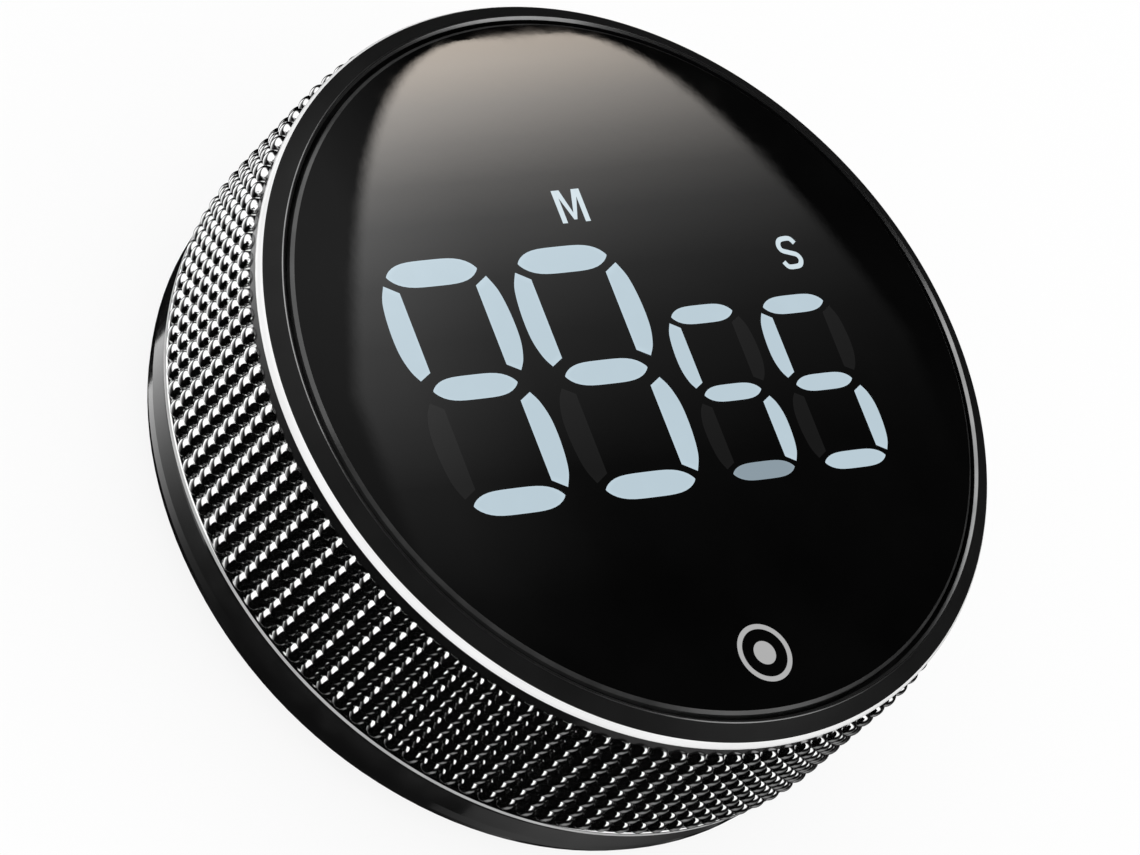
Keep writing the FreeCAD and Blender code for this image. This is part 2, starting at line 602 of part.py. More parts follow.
# ---------------------------------------------------------------- assembly
def build():
    parts["knurled_grip"] = knurled_grip()
    parts["knob_bezel"] = knob_bezel()
    parts["knob_liner"] = knob_liner()
    parts["glide_ring"] = ring(COLLAR_IN_R, JOURNAL_R, COLLAR_TOP, RING_GEAR_BOTTOM - 0.1)
    parts["front_lens"] = front_lens()
    parts["lens_adhesive"] = ring(CARRIER_IN_R + 0.2, CARRIER_R - 0.2, CARRIER_TOP, LENS_BOTTOM)
    parts["lens_carrier"] = lens_carrier()
    parts["display_housing"] = display_housing()
    parts["main_board"] = main_board()
    parts["board_screws"] = board_screws()
    parts["digit_reflector"] = digit_reflector()
    names = ("minutes_tens", "minutes_units", "seconds_tens", "seconds_units")
    for name, digit in zip(names, all_digits()):
        parts[name + "_diffuser"] = digit_diffuser(digit)
    parts["unit_mark_guides"] = unit_mark_guides()
    parts["led_chips"] = led_chips()
    parts["diffuser_film"] = diffuser_film()
    parts["controller_chip"] = controller_chip()
    parts["chip_components"] = chip_components()
    parts["key_switch"] = key_switch()
    parts["key_plunger"] = key_plunger()
    parts["encoder_body"] = encoder_body()
    parts["encoder_pinion"] = encoder_pinion()
    parts["rear_case"] = rear_case()
    parts["case_screws"] = case_screws()
    parts["foot_ring"] = foot_ring()
    parts["magnets"] = magnets()
    parts["volume_switch_body"] = volume_switch_body()
    parts["volume_slider"] = volume_slider()
    parts["buzzer_case"] = buzzer_case()
    parts["buzzer_disc"] = buzzer_disc()
    parts["battery_tray"] = battery_tray()
    for index, (y, sign) in enumerate(cell_directions(), 1):
        parts["battery_cell_%d" % index] = battery_cell(y, sign)
    parts["battery_bridges"] = battery_bridges()
    parts["battery_terminals"] = battery_terminals()
    parts["power_pins"] = power_pins()
    parts["battery_door"] = battery_door()


build()
os.makedirs("parts", exist_ok=True)
for node, shape in parts.items():
    if not shape.isValid():
        print("invalid shape:", node)
    shape.exportStep("parts/%s.step" % node)
print(len(parts), "sub-parts written")
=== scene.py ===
"""Round kitchen timer with a knurled metal knob: looks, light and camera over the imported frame.

Lengths are written in millimetres and turned into metres by MM. +Z comes out of the display, +Y is its top.
"""
import bpy
import math
from mathutils import Euler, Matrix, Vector


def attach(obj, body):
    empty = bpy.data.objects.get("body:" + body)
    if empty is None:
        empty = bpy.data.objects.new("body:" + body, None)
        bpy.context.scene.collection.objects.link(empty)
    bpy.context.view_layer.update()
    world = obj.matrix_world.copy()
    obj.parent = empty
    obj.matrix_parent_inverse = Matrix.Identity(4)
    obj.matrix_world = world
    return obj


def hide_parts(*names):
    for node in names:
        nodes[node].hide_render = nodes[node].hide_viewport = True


MM = 0.001
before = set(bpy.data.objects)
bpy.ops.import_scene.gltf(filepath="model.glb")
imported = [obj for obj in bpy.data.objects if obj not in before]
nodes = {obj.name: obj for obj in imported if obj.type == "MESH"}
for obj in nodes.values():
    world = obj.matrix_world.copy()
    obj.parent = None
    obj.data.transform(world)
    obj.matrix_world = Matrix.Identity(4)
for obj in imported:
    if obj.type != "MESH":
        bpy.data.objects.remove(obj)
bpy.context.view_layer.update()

# ---------------------------------------------------------------- sizes
TURN_STEPS = 360             # sides of a turned piece
KNOB_R = 39.0                # over the beads
BEAD_DEPTH = 0.8
BEAD_PITCH = 2.0
BEAD_COLUMNS = 120
BEAD_ROWS = 8
BEAD_SPLIT = 12              # mesh steps across one bead
BEAD_FILL = 0.98             # bead's radius over half its pitch
FOOT_STEPS = 6               # mesh steps round the grip's lower edge
GRIP_BOTTOM, BEADS_BOTTOM = 8.25, 9.0
BEADS_TOP = BEADS_BOTTOM + BEAD_ROWS * BEAD_PITCH
FOOT_BAND_R, FOOT_ROUND, FOOT_BEVEL = 38.65, 0.3, 0.15
SLEEVE_IN_R = 36.55
LIP_R = 38.3
RIM_Z, RIM_ROUND, RIM_R = 26.75, 1.0, 38.54
RIM_START, RIM_SATIN, RIM_END = -20, 42, 54      # degrees round the rim: white painted reflection of the polished rim to RIM_SATIN, then satin
RIM_STEPS, SHOULDER_STEPS = 14, 3
BEZEL_IN_R, BEZEL_TOP = 36.4, 28.5
EDGE_ROUND, EDGE_START, EDGE_STEPS = 0.2, 35, 4  # thin turned edge round the lens; EDGE_START in degrees
EDGE_LAND = 0.05             # straight part on both sides of that arc
LENS_R, LENS_TOP, LENS_T, LENS_BEVEL = 35.95, 28.6, 2.0, 0.3
PRINT_T = 0.012              # how far the display's shapes stand over the lens
RIM_INSET = 0.86             # inner border of a lit shape's bright edge, as a share of its outline

BIG_DIGIT_X, SMALL_DIGIT_X = (-18.8, -4.0), (9.1, 19.86)
DIGIT_BASE = -12.33
SMALL_SCALE = 0.7


# ---------------------------------------------------------------- node materials
def add(tree, kind, inputs=None, **settings):
    """One shader node; inputs maps socket names or places to values or to other nodes' sockets."""
    made = tree.nodes.new("ShaderNode" + kind)
    for name, value in settings.items():
        setattr(made, name, value)
    for place, value in (inputs or {}).items():
        if isinstance(value, bpy.types.NodeSocket):
            tree.links.new(value, made.inputs[place])
        else:
            made.inputs[place].default_value = value
    return made


def maths(tree, operation, *values):
    return add(tree, "Math", dict(enumerate(values)), operation=operation).outputs[0]


def spread(tree, value, low, high, to_low=0.0, to_high=1.0, smooth=False):
    """value from low..high onto to_low..to_high, held at the ends."""
    kind = "SMOOTHSTEP" if smooth else "LINEAR"
    made = add(tree, "MapRange", {0: value, 1: low, 2: high, 3: to_low, 4: to_high},
               interpolation_type=kind)
    return made.outputs[0]


def grain(tree, size, detail=3.0, stretch=(1, 1, 1), where=None):
    """Noise whose blobs are about size mm across, from 0 to 1."""
    if where is None:
        where = add(tree, "TexCoord").outputs["Object"]
    placed = add(tree, "Mapping", {"Vector": where, "Scale": stretch})
    made = add(tree, "TexNoise", {"Vector": placed.outputs[0], "Scale": 1 / (size * MM), "Detail": detail})
    return made.outputs["Fac"]


def shades(tree, value, *stops):
    """Colour ramp through (place, colour) stops."""
    made = add(tree, "ValToRGB", {0: value})
    ramp = made.color_ramp
    while len(ramp.elements) < len(stops):
        ramp.elements.new(0.5)
    for element, (place, colour) in zip(ramp.elements, stops):
        element.position = place
        element.color = (*colour, 1)
    return made.outputs[0]


def grey(value, warmth=0.0):
    return (value * (1 + warmth), value, value * (1 - warmth))


def reach_of(tree, x, y):
    """Distance from the axis, from two coordinates."""
    squares = [maths(tree, "MULTIPLY", value, value) for value in (x, y)]
    return maths(tree, "SQRT", maths(tree, "ADD", *squares))


def spun(tree):
    """Coordinates in which every point of a turned ring is the same place: rings of tool marks."""
    place = add(tree, "SeparateXYZ", {0: add(tree, "TexCoord").outputs["Object"]})
    x, y, z = place.outputs
    return add(tree, "CombineXYZ", {0: reach_of(tree, x, y), 1: z}).outputs[0]


def finish(name, dark, light, size=2.0, rough=(0.3, 0.45), mark=0.15, bump=0.02, rings=False, edge=None,
           brush=(1, 1, 1), pattern=None, ink=None, ink_metal=None, **shader):
    """A surface whose colour drifts from dark to light over size mm, with marks about `mark` mm across in its
    roughness and bump. edge is the colour that worn corners turn to, brush squeezes the marks along an axis,
    pattern gives a mask from 0 to 1 drawn in ink, and shader holds the surface's own constants."""
    material = bpy.data.materials.new(name)
    material.use_nodes = True
    tree = material.node_tree
    tree.nodes.clear()
    where = spun(tree) if rings else None
    colour = shades(tree, grain(tree, size), (0.3, dark), (0.7, light))
    if edge:
        corner = spread(tree, add(tree, "NewGeometry").outputs["Pointiness"], 0.53, 0.6)
        worn = maths(tree, "MULTIPLY", corner, grain(tree, size / 4))
        colour = add(tree, "Mix", {0: worn, 6: colour, 7: (*edge, 1)}, data_type="RGBA").outputs[2]
    if pattern:
        mask = pattern(tree)
        colour = add(tree, "Mix", {0: mask, 6: colour, 7: (*ink, 1)}, data_type="RGBA").outputs[2]
    marks = grain(tree, mark, 5.0, brush, where)
    roughness = spread(tree, grain(tree, mark * 3, 4.0, brush, where), 0.3, 0.7, *rough)
    relief = add(tree, "Bump", {"Height": marks, "Strength": 0.5, "Distance": bump * MM})
    body = add(tree, "BsdfPrincipled", {"Base Color": colour, "Roughness": roughness,
                                        "Normal": relief.outputs[0]})
    if ink_metal:
        tree.links.new(spread(tree, mask, 0, 1, *ink_metal), body.inputs["Metallic"])
    for socket, value in shader.items():
        body.inputs[socket.replace("_", " ")].default_value = value
    add(tree, "OutputMaterial", {0: body.outputs[0]})
    return material


# ---------------------------------------------------------------- mesh helpers
def piece(name, points, faces, body, materials, faces_of=None, replaces=(), slot=None, crease=30):
    """A new piece from points in mm, riding on a body. faces_of gives each face's material by number."""
    mesh = bpy.data.meshes.new(name)
    mesh.from_pydata([[c * MM for c in p] for p in points], [], faces)
    for material in materials:
        mesh.materials.append(material)
    if faces_of:
        mesh.polygons.foreach_set("material_index", faces_of)
    mesh.shade_smooth()
    mesh.set_sharp_from_angle(angle=math.radians(crease))
    mesh.update()
    made = bpy.data.objects.new(name, mesh)
    bpy.context.scene.collection.objects.link(made)
    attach(made, body)
    if replaces:
        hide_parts(*replaces)
    return made


def arc(centre, radius, start, end, steps):
    """Points of an arc in a (radius, height) outline; angles in degrees from outwards."""
    angles = [math.radians(start + (end - start) * i / steps) for i in range(steps + 1)]
    return [(centre[0] + radius * math.cos(a), centre[1] + radius * math.sin(a)) for a in angles]


def lathe(name, outline, body, materials, regions, **facts):
    """Turns a closed (radius, height) outline, listed with the solid on its left. regions gives a material
    number for each edge of the outline."""
    points, faces, kinds, rings = [], [], [], []
    for r, z in outline:
        first = len(points)
        if r == 0:
            points.append((0, 0, z))
            rings.append([first] * TURN_STEPS)
        else:
            for k in range(TURN_STEPS):
                a = 2 * math.pi * k / TURN_STEPS
                points.append((r * math.cos(a), r * math.sin(a), z))
            rings.append(list(range(first, first + TURN_STEPS)))
    for i, low in enumerate(rings):
        high = rings[(i + 1) % len(rings)]
        if low[0] == low[1] and high[0] == high[1]:
            continue
        for k in range(TURN_STEPS):
            n = (k + 1) % TURN_STEPS
            faces.append(list(dict.fromkeys((low[k], low[n], high[n], high[k]))))
            kinds.append(regions[i])
    return piece(name, points, faces, body, materials, kinds, **facts)


# ---------------------------------------------------------------- materials of the outside
dark_chrome = finish("dark_chrome", grey(0.62), grey(0.74), 6, (0.045, 0.08), 0.08, 0.002, Metallic=1.0)
# painted reflection: the polished chrome rim is drawn as a near-white non-metal that stands in for its mirror
# image of the white surroundings
rim_reflection_painted_white = finish("polished_rim_painted_reflection", grey(0.88), grey(0.95), 8, (0.2, 0.26), 0.05, 0.002, rings=True)
# painted highlight: a pale grey non-metal on the grip's lower edge, standing in for its reflection of the
# white floor
pale_edge_painted_highlight = finish("pale_edge_painted_highlight", grey(0.42), grey(0.52), 4, (0.3, 0.4), 0.05, 0.003, rings=True)
satin_black = finish("satin_black_cone", grey(0.008), grey(0.011), 5, (0.32, 0.4), 0.04, 0.006, rings=True,
                     Specular_IOR_Level=0.1)
gloss_lip = finish("gloss_black_lip", grey(0.004), grey(0.007), 5, (0.1, 0.16), 0.05, 0.002, rings=True)
thin_edge = finish("turned_edge", grey(0.2), grey(0.26), 3, (0.25, 0.3), 0.05, 0.002, rings=True,
                   Metallic=1.0)
lens_black = finish("smoked_lens", grey(0.0012), grey(0.002), 9, (0.0, 0.015), 1.2, 0.0002)
lens_edge = finish("lens_bevel", grey(0.03), grey(0.05), 3, (0.15, 0.25), 0.1, 0.002)
gloss_base = finish("gloss_black_base", grey(0.004), grey(0.007), 7, (0.06, 0.1), 0.2, 0.002, edge=grey(0.05))
rubber = finish("rubber_foot", grey(0.012), grey(0.022), 2, (0.7, 0.85), 0.1, 0.03)


# ---------------------------------------------------------------- knob
def bead_height(u, v):
    """Relief of one bead, 0 at its border and 1 at its top, for u and v from -1 to 1."""
    reach = min(1.0, math.hypot(u, v) / BEAD_FILL)
    return math.sqrt(1.0 - reach * reach)


def knurled_grip():
    floor_r = KNOB_R - BEAD_DEPTH
    across = [2 * i / BEAD_SPLIT - 1 for i in range(BEAD_SPLIT)]
    rows = [(SLEEVE_IN_R, GRIP_BOTTOM, None)]      # (radius, height, place across the bead)
    corner = arc((FOOT_BAND_R - FOOT_ROUND, GRIP_BOTTOM + FOOT_ROUND), FOOT_ROUND, 270, 360, FOOT_STEPS)
    rows += [(r, z, None) for r, z in corner]
    rows += [(FOOT_BAND_R, BEADS_BOTTOM - FOOT_BEVEL, None), (FOOT_BAND_R - FOOT_BEVEL, BEADS_BOTTOM, None)]
    for row in range(BEAD_ROWS):
        rows += [(floor_r, BEADS_BOTTOM + BEAD_PITCH * (row + (v + 1) / 2), v) for v in across]
    rows += [(floor_r, BEADS_TOP, None), (SLEEVE_IN_R, BEADS_TOP, None)]
    count = BEAD_COLUMNS * BEAD_SPLIT
    points = []
    for r, z, v in rows:
        for k in range(count):
            a = 2 * math.pi * k / count
            rise = 0.0 if v is None else BEAD_DEPTH * bead_height(across[k % BEAD_SPLIT], v)
            points.append(((r + rise) * math.cos(a), (r + rise) * math.sin(a), z))
    faces = []
    for i in range(len(rows)):
        low, high = i * count, (i + 1) % len(rows) * count
        faces += [(low + k, low + (k + 1) % count, high + (k + 1) % count, high + k) for k in range(count)]
    # painted highlight: the round corner and the foot band over it are a pale grey non-metal, standing in for
    # their reflection of the white floor
    kinds = [int(1 <= i // count <= FOOT_STEPS + 1) for i in range(len(faces))]
    piece("grip", points, faces, "knob", [dark_chrome, pale_edge_painted_highlight], kinds, replaces=["knurled_grip"],
          slot="polished_metal", crease=50)


def bezel():
    centre = (RIM_R - RIM_ROUND, RIM_Z)
    rim = arc(centre, RIM_ROUND, RIM_START, RIM_SATIN, RIM_STEPS)
    shoulder = arc(centre, RIM_ROUND, RIM_SATIN, RIM_END, SHOULDER_STEPS)[1:]
    inner_centre = (BEZEL_IN_R + EDGE_ROUND + EDGE_LAND, BEZEL_TOP - EDGE_ROUND)
    inner = arc(inner_centre, EDGE_ROUND, EDGE_START, 90, EDGE_STEPS)
    outline = [(BEZEL_IN_R, BEADS_TOP), (LIP_R, BEADS_TOP), (LIP_R, rim[0][1])] + rim + shoulder + inner
    outline.append((BEZEL_IN_R, BEZEL_TOP - EDGE_ROUND - EDGE_LAND))
    regions = [0, 0, 0] + [1] * (len(rim) - 1) + [2] * (len(shoulder) + 1) + [3] * len(inner) + [0]
    lathe("bezel", outline, "knob", [gloss_lip, rim_reflection_painted_white, satin_black, thin_edge], regions,
          replaces=["knob_bezel"], slot="satin_metal")


def lens():
    edge = LENS_TOP - LENS_BEVEL
    outline = [(0, LENS_TOP - LENS_T), (LENS_R, LENS_TOP - LENS_T), (LENS_R, edge),
               (LENS_R - LENS_BEVEL, LENS_TOP), (0, LENS_TOP)]
    lathe("lens", outline, "lens_key", [lens_black, lens_edge], [1, 1, 1, 0, 0],
          replaces=["front_lens"], slot="smoked_lens")


knurled_grip()
bezel()
lens()


# ---------------------------------------------------------------- what the display shows
def glow(name, colour):
    """Shape that glows by its own emission: a little brighter along its edge, with a faint unevenness of the
    lamp behind it. The unlit segments and the printed key mark use it too, as painted light with no lamp
    behind them.
    """
    material = bpy.data.materials.new(name)
    material.use_nodes = True
    tree = material.node_tree
    tree.nodes.clear()
    edge = add(tree, "Attribute", attribute_name="rim").outputs["Fac"]
    level = spread(tree, maths(tree, "ADD", edge, spread(tree, grain(tree, 3.0), 0.3, 0.7, -0.2, 0.2)), 0, 1)
    middle, border = [c * 0.97 for c in colour], [c * 1.04 for c in colour]
    tone = shades(tree, level, (0.0, middle), (1.0, border))
    body = add(tree, "BsdfPrincipled", {"Emission Color": tone, "Emission Strength": 1.0, "Roughness": 0.008,
                                        "Base Color": (0, 0, 0, 1)})
    add(tree, "OutputMaterial", {0: body.outputs[0]})
    return material


lit = glow("segment_lit", (0.505, 0.62, 0.69))
letter_lit = glow("letter_lit", (0.6, 0.7, 0.75))
dim = glow("segment_dim", (0.27, 0.337, 0.385))
# painted light: unlit segments glow faintly by emission, standing in for the light they catch behind the
# lens, so they read a little lighter than it
off_painted_glow = glow("segment_off_painted_glow", grey(0.009))
# painted light: the printed key mark's ink glows by emission instead of being lit
mark_ink_painted_glow = glow("key_mark_ink_painted_glow", grey(0.42))


def plates(name, shapes, materials, kinds, inset=None):
    """Thin plates on the lens, one for each outline in mm, walled and capped. With an inset the cap has
    a band along its edge, so the material can tell edge from middle."""
    points, faces, which, rims = [], [], [], []
    for outline, kind in zip(shapes, kinds):
        n = len(outline)
        cx, cy = sum(p[0] for p in outline) / n, sum(p[1] for p in outline) / n
        base = len(points)
        levels = [(LENS_TOP - PRINT_T, 1.0), (LENS_TOP + PRINT_T, 1.0)]
        if inset:
            levels.append((LENS_TOP + PRINT_T, inset))
        for z, shrink in levels:
            points += [(cx + (x - cx) * shrink, cy + (y - cy) * shrink, z) for x, y in outline]
            rims += [float(shrink == 1.0)] * n
        made = [tuple(base + n - 1 - k for k in range(n))]
        for level in range(len(levels) - 1):
            made += [(base + level * n + k, base + level * n + (k + 1) % n,
                      base + (level + 1) * n + (k + 1) % n, base + (level + 1) * n + k) for k in range(n)]
        made.append(tuple(base + (len(levels) - 1) * n + k for k in range(n)))
        faces += made
        which += [kind] * len(made)
    made = piece(name, points, faces, "lens_key", materials, which, slot="diffuser")
    made.data.attributes.new("rim", "FLOAT", "POINT").data.foreach_set("value", rims)


def smooth_through(points):
    """A smooth open line through the points (Catmull-Rom)."""
    ends = [points[0]] + list(points) + [points[-1]]
    line = []
    for i in range(1, len(ends) - 2):
        p0, p1, p2, p3 = ends[i - 1:i + 3]
        for k in range(CURVE_STEPS):
            t = k / CURVE_STEPS
            line.append(tuple(0.5 * (2 * b + (c - a) * t + (2 * a - 5 * b + 4 * c - d) * t * t
                                     + (3 * b - a - 3 * c + d) * t ** 3)
                              for a, b, c, d in zip(p0, p1, p2, p3)))
    return line + [points[-1]]


def level_bar(y, half_l, half_t):
    """Horizontal bar: nearly straight sides that draw in to a point at each end."""
    places = [math.sin(math.pi / 2 * (k / BAR_STEPS - 1)) for k in range(2 * BAR_STEPS + 1)]
    top = [(s * half_l, y + half_t * (1 - s ** 4) ** 0.8) for s in places]
    bottom = [(x, 2 * y - py) for x, py in reversed(top[1:-1])]
    return list(reversed(top + bottom))


# Upper right bar of a full-size digit, from the digit's centre line and the base of its middle bar
SIDE_INNER = [(4.27, 1.2), (4.27, 9.4)]
SIDE_OUTER = [(5.75, 10.25), (6.5, 8.6), (6.84, 6.1), (6.8, 3.5), (6.3, 1.6), (5.6, 0.47)]
MIDDLE_Y, TOP_Y = -0.66, 11.1
CURVE_STEPS, BAR_STEPS = 6, 10


def side_bar(right, upper):
    line = SIDE_INNER + smooth_through(SIDE_OUTER)
    if not upper:
        line = [(x, 2 * MIDDLE_Y - y) for x, y in line]
    if not right:
        line = [(-x, y) for x, y in line]
    area = sum(a[0] * b[1] - b[0] * a[1] for a, b in zip(line, line[1:] + line[:1]))
    return line if area > 0 else line[::-1]


def digit_shapes(x, scale):
    """The seven bars a to g of a digit centred on x."""
    bars = {"a": level_bar(TOP_Y, 5.08, 1.35), "g": level_bar(MIDDLE_Y, 4.7, 1.23),
            "d": level_bar(DIGIT_BASE, 5.1, 1.29), "b": side_bar(True, True), "c": side_bar(True, False),
            "f": side_bar(False, True), "e": side_bar(False, False)}
    return {name: [(x + px * scale, DIGIT_BASE + (py - DIGIT_BASE) * scale) for px, py in bar]
            for name, bar in bars.items()}


def digit(name, x, scale, lit_bars, dim_bars=""):
    shapes = digit_shapes(x, scale)
    kinds = [0 if bar in lit_bars else 1 if bar in dim_bars else 2 for bar in shapes]
    plates(name, list(shapes.values()), [lit, dim, off_painted_glow], kinds, RIM_INSET)


def ribbon(line, width):
    """Outline of a stroke of this width along a line."""
    left, right = [], []
    for i, (x, y) in enumerate(line):
        before, after = line[max(i - 1, 0)], line[min(i + 1, len(line) - 1)]
        dx, dy = after[0] - before[0], after[1] - before[1]
        size = math.hypot(dx, dy)
        left.append((x - dy / size * width / 2, y + dx / size * width / 2))
        right.append((x + dy / size * width / 2, y - dx / size * width / 2))
    return right + left[::-1]


def unit_letters():
    """M over the minutes and S over the seconds, as plain upright strokes."""
    x0, x1, y0, y1, wide, thin = -2.33, 0.86, 14.73, 18.16, 0.56, 0.34
    middle, foot = (x0 + x1) / 2, 15.03
    letter_m = [[(x0, y0), (x0 + wide, y0), (x0 + wide, y1), (x0, y1)],
                [(x1 - wide, y0), (x1, y0), (x1, y1), (x1 - wide, y1)],
                [(middle - thin / 2, foot), (middle, foot), (middle, foot + 2 * thin), (x0 + wide + thin, y1),
                 (x0 + wide / 2, y1)],
                [(middle, foot), (middle + thin / 2, foot), (x1 - wide / 2, y1), (x1 - wide - thin, y1),
                 (middle, foot + 2 * thin)]]
    cx, cy, half_w, half_h = 21.79, 9.38, 1.03, 1.5
    curve = [(0.98, 0.62), (0.62, 0.95), (0.0, 1.0), (-0.62, 0.9), (-0.9, 0.55), (-0.72, 0.2), (0.0, 0.0),
             (0.74, -0.2), (0.98, -0.56), (0.66, -0.92), (0.0, -1.0), (-0.66, -0.95), (-1.0, -0.6)]
    letter_s = ribbon(smooth_through([(cx + u * half_w, cy + v * half_h) for u, v in curve]), 0.5)
    shapes = letter_m + [letter_s]
    plates("unit_letters", shapes, [letter_lit], [0] * len(shapes))


KEY_MARK = (1.2, -30.2)
KEY_RING_R, KEY_RING_W, KEY_DOT_R = 2.9, 0.5, 1.18
CIRCLE_STEPS = 72


def circle(centre, radius):
    angles = [2 * math.pi * k / CIRCLE_STEPS for k in range(CIRCLE_STEPS)]
    return [(centre[0] + radius * math.cos(a), centre[1] + radius * math.sin(a)) for a in angles]


def key_mark():
    """Printed ring and dot over the press key; the ink glows by its own emission, painted light standing in
    for the light it catches.
    """
    outer, inner = circle(KEY_MARK, KEY_RING_R), circle(KEY_MARK, KEY_RING_R - KEY_RING_W)
    n = len(outer)
    sectors = [[outer[k], outer[(k + 1) % n], inner[(k + 1) % n], inner[k]] for k in range(n)]
    shapes = sectors + [circle(KEY_MARK, KEY_DOT_R)]
    plates("key_mark", shapes, [mark_ink_painted_glow], [0] * len(shapes))


digit("minutes_tens_digit", BIG_DIGIT_X[0], 1.0, "abcdfg")
digit("minutes_units_digit", BIG_DIGIT_X[1], 1.0, "abcdfg")
digit("seconds_tens_digit", SMALL_DIGIT_X[0], SMALL_SCALE, "acfg", "d")
digit("seconds_units_digit", SMALL_DIGIT_X[1], SMALL_SCALE, "acdfg")
unit_letters()
key_mark()


# ---------------------------------------------------------------- surfaces of the other pieces
def tracks(tree):
    """Copper tracks under the board's lacquer: narrow staggered lines."""
    made = add(tree, "TexBrick", {"Vector": add(tree, "TexCoord").outputs["Object"], "Scale": 1 / (4 * MM),
                                  "Mortar Size": 0.025, "Brick Width": 1.3, "Row Height": 0.22, "Bias": 0.0})
    return made.outputs["Fac"]


def cell_ends(tree):
    """Bare steel beyond the jacket at both ends of a cell."""
    x = add(tree, "SeparateXYZ", {0: add(tree, "TexCoord").outputs["Object"]}).outputs[0]
    return spread(tree, maths(tree, "ABSOLUTE", x), JACKET_HALF * MM, (JACKET_HALF + 0.1) * MM)


def ceramic(tree):
    """Pale ceramic spot in the middle of the buzzer's disc."""
    place = add(tree, "SeparateXYZ", {0: add(tree, "TexCoord").outputs["Object"]})
    x, y, _ = place.outputs
    off_centre = maths(tree, "SUBTRACT", y, BUZZER_Y * MM)
    return spread(tree, reach_of(tree, x, off_centre), (SPOT_R + 0.1) * MM, SPOT_R * MM)


def speckle(tree):
    """Fine dots of a diffusing film."""
    where = add(tree, "TexCoord").outputs["Object"]
    made = add(tree, "TexVoronoi", {"Vector": where, "Scale": 1 / (0.35 * MM)})
    return spread(tree, made.outputs["Distance"], 0.3, 0.2)


def mould_marks(tree):
    """Faint flow marks in a moulding."""
    return spread(tree, grain(tree, 6.0, 2.0, (1, 0.3, 1)), 0.6, 0.75, 0.0, 0.5)


JACKET_HALF = 21.25          # half the length of a cell's jacket
BUZZER_Y, SPOT_R = -25.5, 4.2
housing = finish("moulded_black", grey(0.012), grey(0.02), 4, (0.4, 0.55), 0.12, 0.01, edge=grey(0.06),
                 pattern=mould_marks, ink=grey(0.026))
eroded = finish("textured_black", grey(0.010), grey(0.017), 3, (0.5, 0.65), 0.09, 0.025, edge=grey(0.05))
key_black = finish("key_black", grey(0.02), grey(0.03), 1.5, (0.3, 0.4), 0.06, 0.006, edge=grey(0.1))
chip = finish("chip_epoxy", grey(0.014), grey(0.022), 0.6, (0.5, 0.6), 0.04, 0.004, edge=grey(0.08))
parts_tin = finish("tinned_parts", (0.24, 0.2, 0.15), (0.4, 0.36, 0.3), 0.8, (0.35, 0.5), 0.05, 0.004,
                   edge=grey(0.6))
board = finish("board_lacquer", (0.004, 0.045, 0.02), (0.006, 0.06, 0.028), 5, (0.2, 0.3), 0.15, 0.004,
               pattern=tracks, ink=(0.02, 0.14, 0.06), edge=(0.3, 0.27, 0.15))
steel = finish("bright_steel", grey(0.5), grey(0.62), 3, (0.2, 0.34), 0.07, 0.003, brush=(0.2, 1, 1),
               edge=grey(0.8), Metallic=1.0)
dark_steel = finish("blackened_steel", grey(0.05), grey(0.09), 1, (0.3, 0.45), 0.06, 0.005, edge=grey(0.4),
                    Metallic=1.0)
spring = finish("spring_strip", (0.66, 0.6, 0.46), (0.78, 0.72, 0.58), 2, (0.22, 0.36), 0.06, 0.003,
                brush=(1, 0.2, 1), Metallic=1.0)
magnet = finish("nickel_plate", (0.62, 0.6, 0.55), (0.72, 0.7, 0.66), 1.5, (0.12, 0.25), 0.08, 0.003,
                edge=grey(0.2), Metallic=1.0)
jacket = finish("cell_jacket", (0.012, 0.02, 0.028), (0.02, 0.03, 0.042), 6, (0.25, 0.35), 0.1, 0.003,
                pattern=cell_ends, ink=grey(0.6), ink_metal=(0.0, 1.0))
sounder = finish("sounder_disc", (0.6, 0.42, 0.16), (0.7, 0.5, 0.22), 2, (0.25, 0.4), 0.06, 0.003, rings=True,
                 pattern=ceramic, ink=(0.75, 0.74, 0.68), ink_metal=(1.0, 0.0))
reflector = finish("white_reflector", (0.78, 0.78, 0.76), (0.86, 0.86, 0.84), 5, (0.45, 0.6), 0.1, 0.006,
                   pattern=mould_marks, ink=(0.7, 0.69, 0.65))
milk = finish("milky_diffuser", (0.6, 0.62, 0.62), (0.7, 0.72, 0.72), 3, (0.35, 0.5), 0.08, 0.003,
              pattern=speckle, ink=(0.76, 0.78, 0.78))
natural = finish("natural_acetal", (0.7, 0.69, 0.63), (0.8, 0.79, 0.74), 2, (0.3, 0.42), 0.06, 0.004,
                 edge=(0.55, 0.53, 0.47))
slick = finish("slick_ring", (0.74, 0.74, 0.72), (0.82, 0.82, 0.8), 3, (0.25, 0.4), 0.05, 0.002, rings=True)
foam = finish("foam_adhesive", grey(0.015), grey(0.035), 0.5, (0.8, 0.95), 0.12, 0.04)

WEARS = {
    gloss_base: "rear_case", eroded: "battery_door volume_slider", rubber: "foot_ring", foam: "lens_adhesive",
    housing: "battery_tray display_housing lens_carrier knob_liner buzzer_case",
    key_black: "encoder_body key_switch volume_switch_body", chip: "controller_chip",
    parts_tin: "chip_components", board: "main_board", steel: "power_pins",
    dark_steel: "case_screws board_screws",
    spring: "battery_bridges battery_terminals", magnet: "magnets", sounder: "buzzer_disc",
    jacket: "battery_cell_1 battery_cell_2 battery_cell_3", reflector: "digit_reflector led_chips",
    milk: "diffuser_film minutes_tens_diffuser minutes_units_diffuser seconds_tens_diffuser "
          "seconds_units_diffuser unit_mark_guides",
    natural: "encoder_pinion key_plunger", slick: "glide_ring",
}
for material, names in WEARS.items():
    for name in names.split():
        nodes[name].data.materials.clear()
        nodes[name].data.materials.append(material)


